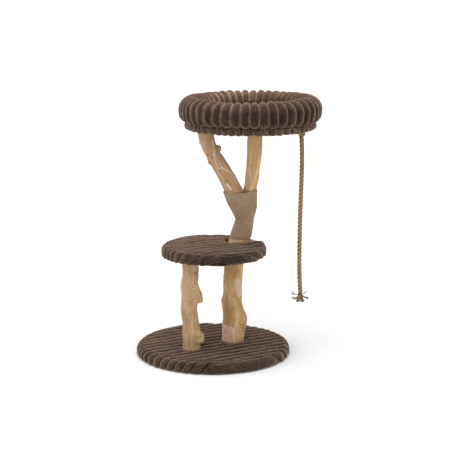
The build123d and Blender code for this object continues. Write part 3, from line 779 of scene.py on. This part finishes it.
def deck(
    name, node, centre, radius, low, high, hem_r, board,
    top_r=15.0, bottom_r=8.0, top_depth=5.0, rim_depth=8.5, crown=0.0, lean=0.3, worn=0.0, lumps=1.0,
    hole=None, smear=None, front=None, gather=None, feet=(), humps=(), brushed=(),
    columns=720, gap=2.6, seed=1,
):
    """A deck's plush cover: its top, rounded rim and turned-in hem, with ribs across all of it.

    board is the (radius, low, high) of the board that the cover stays outside, hole the (x, y,
    radius) of what passes through it, smear the (turn, half width) where the ribs are pulled flat
    over the rim, feet the (x, y, radius) of posts that press it down, gather the pitch of folds
    round the rim, lean how far the ribs slant down the rim, worn how far the painted shade in the
    creases on top gives way to the pale painted sheen, humps the (x, y, size, rise) of swellings,
    brushed the (x, y, size, change) of paler or darker patches that paint the shade of the platform
    and bed above and the light where they leave a deck lit, front the (pitch, offset, first turn,
    last turn, slant) of the ribs that run straight down the rim, and lumps how uneven the wadding is.
    """
    edge = radius - top_r + 6
    points, flats, normals, on_top, rows = deck_grid(
        centre, radius, low, high, hem_r, top_r, bottom_r, hole, edge, lean, columns, gap
    )
    spots = points + (*centre, 0)
    turns_at = np.arctan2(flats[:, 1], flats[:, 0])
    reach = np.linalg.norm(flats, axis=1)
    out = from_axis(points)

    flat3 = at_height(flats, 0.0)
    drift = layers(flat3, seed, (3.2, 60.0), (1.1, 17.0))
    turns = (flats @ ACROSS + drift) / RIB_PITCH + RIB_START
    drop = np.maximum(reach - edge, 0) / lean
    if front is not None:
        pitch, offset, first, last, slant = front
        angle = np.degrees(turns_at) % 360
        facing = step(radius - 52, radius - 12, reach)
        facing *= step(first, first + 24, angle) * (1 - step(last - 40, last, angle))
        slant = slant * (0.25 + 1.3 * step(205, 290, angle))
        side = np.minimum(reach, edge) * np.cos(turns_at) + slant * drop - 0.8 * drift
        turns += facing * (offset - side / pitch - turns)
    # t runs from a rib's crest to its crease; the plush paints its sheen line and its crease shade from it
    t, fall = rib_shape(turns)
    depth = rim_depth + (top_depth - rim_depth) * on_top
    depth = depth * (1 + 0.25 * lattice(flat3, 34.0, seed + 2))
    under = (1 - step(low + 1, low + 4, spots[:, 2])) * step(0, 12, radius - bottom_r - out)
    depth = depth * (1 - 0.6 * under)
    # less of the painted crease shade on top, by worn
    t = t * (1 - worn * on_top)
    if smear is not None:
        for side in (0, pi):
            off = np.abs((turns_at - radians(smear[0]) - side + pi) % (2 * pi) - pi)
            rimmed = step(radius - 30, radius - 10, reach)
            flatten = rimmed * (1 - step(radians(smear[1]) * 0.45, radians(smear[1]), off))
            depth = depth * (1 - 0.72 * flatten)
            # where the ribs are pulled flat there is less painted crease shade, and the crumples get
            # painted crease shade of their own
            t = t * (1 - 0.55 * flatten)
            crumple = drop / 17 + layers(spots, seed + 14, (0.9, (46, 46, 20)), (0.4, 13.0))
            crumple_t, crumple_fall = rib_shape(crumple)
            t = np.maximum(t, 0.86 * flatten * crumple_t**2)
            fall = fall + flatten * (1 - under) * 0.8 * crumple_fall
    if gather is not None:
        folds = turns_at * radius / gather + 0.55 * lattice(spots, 30.0, seed + 7)
        t2, fall2 = rib_shape(folds)
        rimmed = 1 - step(high - 5, high - 1, spots[:, 2])
        # the gathered folds take over the painted crease shade round the rim
        t = t * (1 - rimmed) + t2 * rimmed
        fall = fall * (1 - rimmed) + fall2 * rimmed
    lift = -depth * fall
    lift += lumps * layers(spots, seed + 3, (0.9, 38.0), (0.42, 7.0), (0.2, 3.0))
    hem = 1 - step(2, 14, out - hem_r)
    lift = lift * (1 - 0.8 * hem * (spots[:, 2] < low + 3))
    points = points + normals * lift[:, None]
    points[:, 2] += crown * (1 - np.minimum(reach / radius, 1) ** 2) * on_top
    for x, y, r in feet:
        points[:, 2] -= FOOT_DIP * (1 - step(r - 4, r + 20, from_axis(spots, x, y))) * on_top
    if hole is not None:
        x, y, r = hole
        way = np.array((x, y)) - centre
        outward = step(-0.2, 0.8, (spots[:, :2] - (x, y)) @ (way / np.linalg.norm(way)) / 60)
        points[:, 2] -= HOLE_DIP * (1 - step(4, 46, from_axis(spots, x, y) - r)) * outward * on_top
    for x, y, size, rise in humps:
        points[:, 2] += rise * bell(from_axis(spots, x, y), size) * on_top
    points[:, 2] = np.maximum(points[:, 2], low)
    away = from_axis(points)
    board_r, board_low, board_high = board
    beside = (points[:, 2] > board_low - 0.6) & (points[:, 2] < board_high + 0.6) & (away > hem_r + 25)
    push = np.where(beside, np.maximum(board_r + 0.7 - away, 0), 0)
    points[:, :2] *= (1 + push / np.maximum(away, 1))[:, None]
    faces = ring_faces(rows, columns)
    points = points + (*centre, 0)
    if hole is None:
        faces.append(tuple(range(columns))[::-1])
    tone = 1 + 0.14 * lattice(points, 70.0, seed + 8)
    # painted light and shade: brushed patches make a deck darker where the platform and bed above shade it
    # and paler where they leave it lit
    for x, y, size, change in brushed:
        tone += change * bell(from_axis(points, x, y), size)
    piece = new_piece(name, points, [f[::-1] for f in faces], PLUSH, {"rib": t, "tone": tone})
    return place(piece, "stand", "plush", node)


BED = (120.0, 60.0)  # the middle of the seat, the ring and the cushion

base = deck(
    "base_plush", "base_cover",
    centre=(0, 0), radius=249.0, low=0.6, high=35.5, hem_r=207.0, board=(241, 3, 25),
    top_r=20, bottom_r=9, top_depth=7.0, rim_depth=10.0, lean=0.5,
    front=(25.0, -8.3, 212, 284, 0.35),
    smear=(-56, 30),
    feet=((63, 34, 36), (-70, -56, 28)),
    # brushed: painted light on the base's left, painted shade under the platform and bed in the middle, and
    # paler patches at the front
    brushed=((-190, 60, 120, 0.3), (50, -30, 175, -0.85), (-120, -190, 60, 0.25), (110, -210, 60, 0.15)),
    gap=2.8, seed=11,
)
platform = deck(
    "platform_plush", "platform_cover",
    centre=(3, 8), radius=170.0, low=322.5, high=358.5, hem_r=127.0, board=(161, 325, 343),
    top_r=17, bottom_r=10, top_depth=3.6, rim_depth=10.0, crown=3.0, lean=0.8, worn=0.32, lumps=1.4,
    hole=(80.5, 64.5, 41.0),
    front=(26.0, -5.4, 205, 292, 0.8),
    humps=((140, 22, 34, 9.0), (-60, 60, 70, 3.0)),
    # brushed: paler and darker patches, with painted shade under the bed on the right
    brushed=((-90, 60, 90, 0.1), (60, -120, 70, -0.25), (110, -30, 90, -0.6)),
    columns=640, gap=2.4, seed=31,
)
seat = deck(
    "seat_plush", "seat_cover",
    centre=BED, radius=211.0, low=727.5, high=751.5, hem_r=166.0, board=(200, 731, 746),
    top_r=9, bottom_r=8, top_depth=1.6, rim_depth=9.5, lumps=2.0,
    gather=27.0,
    # brushed: the whole seat paler
    brushed=((*BED, 600, 0.75),),
    gap=3.0, seed=51,
)


RING_CORE = (187.5, 792.0)  # radius and height of the ring's core line
RIBS = 44
RING_RIB_DEPTH = 13.0
RING_RIB_LIFT = 3.8  # from the ring's section to a rib's crest
BED_FLOOR_TOP = 757.05  # where the ring and the cushion rest
BED_FLOOR_R = 206.2
BED_FLOOR_T = 4.7


def ring_section(phi):
    """The ring's (r, z) from its core line, an oval that is fuller below on its outer side."""
    across, up = cos(phi), sin(phi)
    power = 0.62 if across > 0 and up < 0 else 0.94
    r = 38.0 * np.sign(across) * abs(across) ** power
    z = (36.0 if up > 0 else 38.6) * np.sign(up) * abs(up) ** power
    return r, z


def make_bolster():
    """The bed's stuffed ring, gathered into round ribs that run over it."""
    per_rib, rows = 20, 96
    columns = RIBS * per_rib
    rng = np.random.default_rng(8)
    widths = 1 + 0.09 * rng.uniform(-1, 1, RIBS)
    ends = np.concatenate([[0], np.cumsum(widths)]) / widths.sum() * 2 * pi
    full = rng.uniform(-1, 1, RIBS)
    u = np.linspace(0, 1, per_rib, endpoint=False)
    part = 0.35 * u + 0.65 * (0.5 - 0.5 * np.cos(pi * u))
    turn = np.concatenate([ends[i] + (ends[i + 1] - ends[i]) * part for i in range(RIBS)])
    rib_of = np.repeat(np.arange(RIBS), per_rib)
    t, fall = rib_shape(np.tile(part, RIBS))
    # A pale line of painted sheen, with painted shade beyond it, is painted along one side of each crease
    # only; the other side stays near the face's colour.
    t = np.where(np.tile(part, RIBS) > 0.5, 0.9 * t, 0.58 * t)
    ring = directions(turn)
    points, normals, shade = [], [], []
    for phi in full_turn(rows):
        at = at_height(ring * 220, 60 * phi)
        bend = 0.006 * lattice(at, 38.0, 77)
        depth = (RING_RIB_DEPTH + 1.6 * cos(phi - 1.2)) * (1 + 0.16 * full[rib_of])
        lift = RING_RIB_LIFT + 1.6 * full[rib_of] * (0.4 + 0.6 * abs(sin(phi))) - depth * fall
        r0, z0 = ring_section(phi)
        reach = np.hypot(r0, z0)
        r = RING_CORE[0] + r0 * (1 + lift / reach)
        z = RING_CORE[1] + z0 * (1 + lift / reach)
        points.append(np.column_stack([r[:, None] * directions(turn + bend), z]))
        normals.append(at_height(r0 * ring, z0) / reach)
        shade.append(t)
    points, normals = np.concatenate(points), np.concatenate(normals)
    wave = layers(points, 5, (1.2, 55.0), (0.7, 11.0), (0.3, 4.0))
    points = points + normals * wave[:, None]
    away = from_axis(points)
    floor = BED_FLOOR_TOP - BED_FLOOR_T * step(BED_FLOOR_R - 0.4, BED_FLOOR_R + 0.4, away)
    points[:, 2] = np.maximum(points[:, 2], floor)
    painted_light_back = step(20, 110, points[:, 1]) * (1 - step(172, 200, away))
    points = points + (*BED, 0)
    faces = ring_faces(rows, columns, True)
    # tone: random tone, with painted light on the ring's upper part and, stronger, on the upper inner wall
    # at the back
    tone = 0.88 + 1.3 * step(796, 831, points[:, 2]) + 0.22 * lattice(points, 22.0, 9)
    tone += 2.1 * painted_light_back * step(775, 812, points[:, 2])
    values = {"rib": np.concatenate(shade), "tone": tone}
    piece = new_piece("ring_plush_bolster", points, faces, RING_PLUSH, values)
    place(piece, "bed", "plush", "bed_bolster")


make_bolster()


CLOTH_FRAMES = 20
PAD_VOXEL = 0.005
PAD_PRESSURE = 4.0
PAD_SWELL = 5.0  # the most that a point of the cushion moves as it swells
PAD_START_R, PAD_R = 137.0, 144.5  # its radius before and after it swells
PAD_MIDDLE, PAD_HALF = 767.5, 7.5  # height of the cushion's middle, and half its thickness before it swells


def swollen(points, faces, cap):
    """A closed pad's points and faces after its filling swells it, no point by more than cap."""
    scene = bpy.context.scene
    pad = add_object("pad", mesh_of("pad", points, faces))
    modify(pad, "REMESH", mode="VOXEL", voxel_size=PAD_VOXEL)
    before = points_of(pad.data)
    after = before
    cloth = pad.modifiers.new("cloth", "CLOTH")
    cloth.settings.use_pressure = True
    cloth.settings.uniform_pressure_force = PAD_PRESSURE
    cloth.settings.effector_weights.gravity = 0
    cloth.point_cache.frame_end = CLOTH_FRAMES
    for number in range(1, CLOTH_FRAMES + 1):
        scene.frame_set(number)
    after = points_of(current(pad).to_mesh())
    pad.modifiers.clear()
    scene.frame_set(1)
    move = after - before
    far = np.linalg.norm(move, axis=1)
    after = before + move * (np.minimum(far, cap) / np.maximum(far, 1e-9))[:, None]
    pad.data.vertices.foreach_set("co", (after * MM).ravel())
    modify(pad, "SUBSURF", levels=1)
    fine = pad.data
    bpy.data.objects.remove(pad)
    return points_of(fine), [tuple(f.vertices) for f in fine.polygons]


def make_cushion():
    """The loose round cushion in the bed: a swollen pad with ribbed plush over it."""
    columns, rows = 120, 24
    ring = directions(full_turn(columns))
    points = []
    for side, shares in ((1, np.linspace(0.02, 1, rows)), (-1, np.linspace(1, 0.02, rows)[1:])):
        for share in shares:
            bulge = (1 - share**6) ** 0.5
            points.append(at_height(PAD_START_R * share * ring, PAD_MIDDLE + side * PAD_HALF * bulge))
    total = len(points)
    faces = [f[::-1] for f in ring_faces(total, columns)]
    faces.append(tuple(range(columns)))
    faces.append(tuple(range((total - 1) * columns, total * columns))[::-1])
    points, faces = swollen(np.concatenate(points), faces, PAD_SWELL)
    points[:, :2] *= PAD_R / np.linalg.norm(points[:, :2], axis=1).max()
    flat3 = points * (1, 1, 0)
    turns = (points[:, :2] @ ACROSS + 3 * lattice(flat3, 55.0, 91)) / RIB_PITCH
    t, fall = rib_shape(turns)
    upper = step(764, 772, points[:, 2])
    points[:, 2] += upper * (-3.0 * fall + layers(points, 92, (0.6, 40.0), (0.4, 7.0)))
    points[:, 2] = np.maximum(points[:, 2], BED_FLOOR_TOP + 0.05)
    points = points + (*BED, 0)
    piece = new_piece("bed_pad", points, faces, PLUSH, {"rib": t, "tone": np.ones(len(points))})
    place(piece, "cushion", "plush", "bed_cushion")


make_cushion()


# ---------------- wood

# Each log's middle at some heights: (z, x, y, half width in x, half width in y).
STEM_LINE = [
    (27, 63, 33, 36, 35), (75, 67, 37, 38, 36), (110, 70, 41, 38, 36),
    (140, 65, 44, 34, 34), (180, 63, 49, 31.5, 32), (240, 65, 54, 31.5, 31.5),
    (300, 72, 61, 32.5, 32), (360, 86, 66, 34, 33), (400, 96, 68, 31, 31),
    (425, 101, 68, 27.5, 29), (470, 112, 68, 27.5, 28), (520, 118.5, 70, 21.5, 24),
    (575, 126, 73, 23, 23), (640, 133, 77, 24, 23.5), (731, 136, 80, 23, 23),
]
LEFT_LINE = [
    (418, 100, 66, 19, 20), (450, 92, 60, 25, 26), (486, 78, 54, 29.5, 28),
    (535, 62, 49, 30.5, 28), (575, 43, 47, 29, 27.5), (618, 19, 43, 28, 27),
    (664, -9, 39, 25, 25), (700, -20, 36, 25, 25), (731, -28, 34, 25.5, 25),
]
POST_LINE = [
    (27, -70, -56, 28.5, 27), (129, -73, -56, 25.5, 25.5), (161, -76, -56, 26.5, 26),
    (240, -75, -56, 26.5, 26), (325, -70, -56, 26, 25.5),
]
LOG_VOXEL = 0.0021
LOG_RELAX = 9  # rounds of smoothing
LOG_ENDS = ((30, 38), (722, 728))  # heights over which the relief fades in at the foot and out at the top
CUT_FACING = np.array([-0.55, -0.83, 0.0])


def log_at(stations, z):
    """The log's middle and half widths at each height."""
    table = np.array(stations, float)
    return [np.interp(z, table[:, 0], table[:, i]) for i in range(1, 5)]


def timber(name, node, stations, material, slot, knots=(), cut=None, lines=(), rough=(), seed=1):
    """A log with the lumps, grooves and knots of peeled wood, from its CAD solid.

    knots are (x, y, z, size, rise, darkness), cut the (left, right, top, slope) of a cut face at
    the foot, lines the (width, strength, places) of pale scars on the front, and rough the
    (x, y, z, size) of torn wood.
    """
    piece = add_object(name, NODES[node].data.copy())
    modify(piece, "REMESH", mode="VOXEL", voxel_size=LOG_VOXEL)
    modify(piece, "SMOOTH", factor=0.5, iterations=LOG_RELAX)
    fine = piece.data
    points = points_of(fine)
    count = len(points)
    normals = np.zeros(count * 3)
    fine.vertices.foreach_get("normal", normals)
    normals = normals.reshape(-1, 3)
    x, y = log_at(stations, points[:, 2])[:2]
    local = np.column_stack([points[:, 0] - x, points[:, 1] - y, points[:, 2]])
    along_grain = local * (1, 1, 0.16)
    lift = layers(points, seed, (2.0, 40.0), (0.9, 16.0))
    lift += layers(along_grain, seed + 2, (0.5, 7.0), (0.3, 3.2))
    lift += 0.25 * lattice(points, 5.0, seed + 4)
    dark = np.zeros(count)
    for kx, ky, kz, size, rise, colour in knots:
        away = np.linalg.norm((points - (kx, ky, kz)) * (1, 1, 0.8), axis=1)
        lift += rise * bell(away, size)
        lift -= 0.5 * abs(rise) * bell(away - 0.2 * size, 0.35 * size)
        dark = np.maximum(dark, colour * bell(away, 0.55 * size))
    torn = layers(points, seed + 6, (1.0, 7.0), (0.6, 3.5))
    for rx, ry, rz, size in rough:
        near = bell(np.linalg.norm((points - (rx, ry, rz)) * (1, 1, 0.45), axis=1), size)
        lift += near * 2.0 * torn
        # the torn wood is made darker in its dents, stored with the knots' darkness
        dark = np.maximum(dark, near * np.clip(-0.9 * torn, 0, 0.8))
    pale = np.zeros(count)
    front = step(0.1, 0.5, -normals[:, 1])
    seen = points[:, [0, 2]] + 1.6 * wander(points, 9.0, seed + 12, 2)
    for width, strength, places in lines:
        path = np.array(places, float)
        for a, b in zip(path, path[1:]):
            share = np.clip(((seen - a) @ (b - a)) / ((b - a) @ (b - a)), 0, 1)
            off = np.linalg.norm(seen - a - share[:, None] * (b - a), axis=1)
            pale = np.maximum(pale, strength * front * (1 - step(0.35 * width, width, off)))
    lift += 0.8 * pale
    chopped = np.zeros(count)
    if cut is not None:
        left, right, top, slope = cut
        above = points[:, 2] - top + slope * (points[:, 0] - left) + 1.2 * lattice(points, 7.0, seed + 9)
        chopped = (1 - step(-1.2, 1.2, above)) * (1 - step(right - 1, right + 1, points[:, 0]))
        chopped *= step(0.1, 0.35, normals @ CUT_FACING)
        lift = lift * (1 - 0.6 * chopped) + 0.8 * chopped * lattice(points, 3.5, seed + 10)
    foot, head = LOG_ENDS
    ends = step(*foot, points[:, 2]) * (1 - step(*head, points[:, 2]))
    points = points + normals * (lift * ends)[:, None]
    fine.vertices.foreach_set("co", (points * MM).ravel())
    values = {"knot": np.clip(dark, 0, 1), "chop": chopped, "pale": pale, "grain": local * MM}
    dress(fine, material, values)
    return place(piece, "stand", slot, node)


timber(
    "stem_log",
    "main_stem",
    STEM_LINE,
    STEM_WOOD,
    "timber",
    knots=(
        (31, 44, 166, 9, 3.0, 0.5),
        (104, 36, 92, 15, 3.0, 0.3),
        (94, 40, 176, 6, 1.0, 0.8),
        (101, 28, 62, 8, -2.5, 0.8),
        (140, 54, 700, 6, 0.8, 0.5),
        (34, 12, 48, 6, -2.0, 0.6),
    ),
    cut=(28.0, 70.5, 91.0, 0.22),
    lines=(
        (15.0, 0.42, ((78, 232), (82, 208), (86, 188))),
        (9.0, 0.45, ((66, 366), (92, 368))),
        (5.0, 0.3, ((118, 600), (124, 560), (121, 530))),
    ),
    rough=((98, 20, 60, 16),),
    seed=101,
)
timber(
    "left_log",
    "left_branch",
    LEFT_LINE,
    PALE_WOOD,
    "pale_timber",
    knots=(
        (-15, 20, 648, 7, 1.0, 0.9),
        (-4, 16, 640, 4, 0.6, 0.8),
        (-14, 32, 626, 12, 2.0, 0.25),
        (16, 26, 664, 12, 2.0, 0.2),
        (40, 24, 560, 5, 0.5, 0.5),
    ),
    lines=(
        (2.4, 0.5, ((2, 652), (9, 624), (18, 605), (32, 607), (48, 596), (66, 581), (71, 567), (80, 548))),
        (2.0, 0.4, ((9, 636), (22, 622), (34, 600))),
        (6.0, 0.6, ((46, 552), (58, 536))),
        (3.0, 0.5, ((-2, 690), (4, 664), (8, 640))),
    ),
    seed=131,
)
timber(
    "post_log",
    "short_post",
    POST_LINE,
    POST_WOOD,
    "timber",
    knots=(
        (-54, -74, 283, 9, -2.5, 1.0),
        (-48, -60, 298, 5, -2.0, 0.8),
        (-74, -82, 151, 5, 0.8, 0.8),
        (-33, -66, 200, 8, 1.0, 0.35),
        (-34, -66, 66, 8, 1.0, 0.35),
    ),
    rough=((-47, -62, 275, 15), (-44, -70, 100, 14)),
    seed=161,
)


# ---------------- jute wrap

WRAP_LOW, WRAP_HIGH = 370.0, 523.0
WRAP_GAP = 3.0  # from the logs' girth to the cloth's outer face
WRAP_T = 1.6


def make_wrap():
    """Jute cloth pulled round the fork, so that it spans the hollows between the branches."""
    columns, rows = 300, 90
    turn = full_turn(columns)
    facing = directions(turn)
    spread = np.cos(turn[:, None] - turn[None, :])
    points, cloth = [], []

    def girth(x, y, half_x, half_y):
        return facing @ (x, y) + np.hypot(facing[:, 0] * half_x, facing[:, 1] * half_y)

    for share in np.linspace(0, 1, rows):
        z = WRAP_LOW + (WRAP_HIGH - WRAP_LOW) * share
        stem = log_at(STEM_LINE, z)
        middle = np.array(stem[:2])
        reach = girth(*stem)
        if z > LEFT_LINE[0][0]:
            left = log_at(LEFT_LINE, z)
            middle = (middle + left[:2]) / 2
            reach = np.maximum(reach, girth(*left))
        reach = reach - facing @ middle + WRAP_GAP
        radius = np.where(spread > 0.05, reach[:, None] / np.maximum(spread, 0.05), 1e9).min(0)
        xy = middle + radius[:, None] * facing
        lip = 4.0 * step(100, 150, xy[:, 0]) * share
        if share > 0.5:
            lip = lip + 1.2 * lattice(at_height(xy, 0.0), 18.0, 301)
        points.append(at_height(xy, z + lip * share**3))
        cloth.append(np.column_stack([run_lengths(xy), np.full(columns, z), np.zeros(columns)]))
    points, cloth = np.concatenate(points), np.concatenate(cloth) * MM
    outward = points - np.repeat(points.reshape(rows, columns, 3).mean(1), columns, 0)
    outward[:, 2] = 0
    outward /= np.linalg.norm(outward, axis=1)[:, None]
    wrinkle = 0.8 * lattice(points * (1, 1, 1.6), 30.0, 210) + 0.35 * lattice(points, 11.0, 211)
    points = points + outward * wrinkle[:, None]
    piece = new_piece("jute_sleeve", points, ring_faces(rows, columns), JUTE, {"cloth": cloth})
    modify(piece, "SOLIDIFY", thickness=WRAP_T * MM, offset=-1)
    place(piece, "stand", "jute", "jute_wrap")


make_wrap()


# ---------------- stage, light and end

SKY_LOW, SKY_HIGH = 0.80, 0.92  # the light from the horizon and from straight above
# Each lamp's name, strength, angle and tilt: a soft light from above and a low one from the left.
LAMPS = (("key", 1.2, 52, (12, -6, 0)), ("low", 0.34, 22, (-34, -66, 0)))
FLOOR_SIZE, FLOOR_Z = 60000.0, -0.2


def make_stage():
    """A plain white floor under a broad, soft light from the upper left."""
    n = Nodes("floor")
    material = n.finish((0.92, 0.92, 0.925), 1.0, Specular_IOR_Level=0.0)
    signs = ((-1, -1), (1, -1), (1, 1), (-1, 1))
    corners = [(x * FLOOR_SIZE, y * FLOOR_SIZE, FLOOR_Z) for x, y in signs]
    floor = new_piece("floor", corners, [(0, 1, 2, 3)], material, {}, smooth=False)
    sky = bpy.data.worlds.new("studio")
    sky.use_nodes = True
    tree = sky.node_tree
    spot = tree.nodes.new("ShaderNodeTexCoord")
    parts = tree.nodes.new("ShaderNodeSeparateXYZ")
    shade = tree.nodes.new("ShaderNodeValToRGB")
    for element, (where, value) in zip(shade.color_ramp.elements, ((0.0, SKY_LOW), (1.0, SKY_HIGH))):
        element.position = where
        element.color = (value, value, value, 1)
    tree.links.new(spot.outputs["Generated"], parts.inputs[0])
    tree.links.new(parts.outputs["Z"], shade.inputs[0])
    tree.links.new(shade.outputs[0], tree.nodes["Background"].inputs["Color"])
    bpy.context.scene.world = sky
    for name, strength, angle, tilt in LAMPS:
        data = bpy.data.lights.new(name, "SUN")
        data.energy = strength
        data.angle = radians(angle)
        add_object(name, data).rotation_euler = [radians(a) for a in tilt]
    bpy.context.scene.view_settings.view_transform = "Standard"


make_stage()
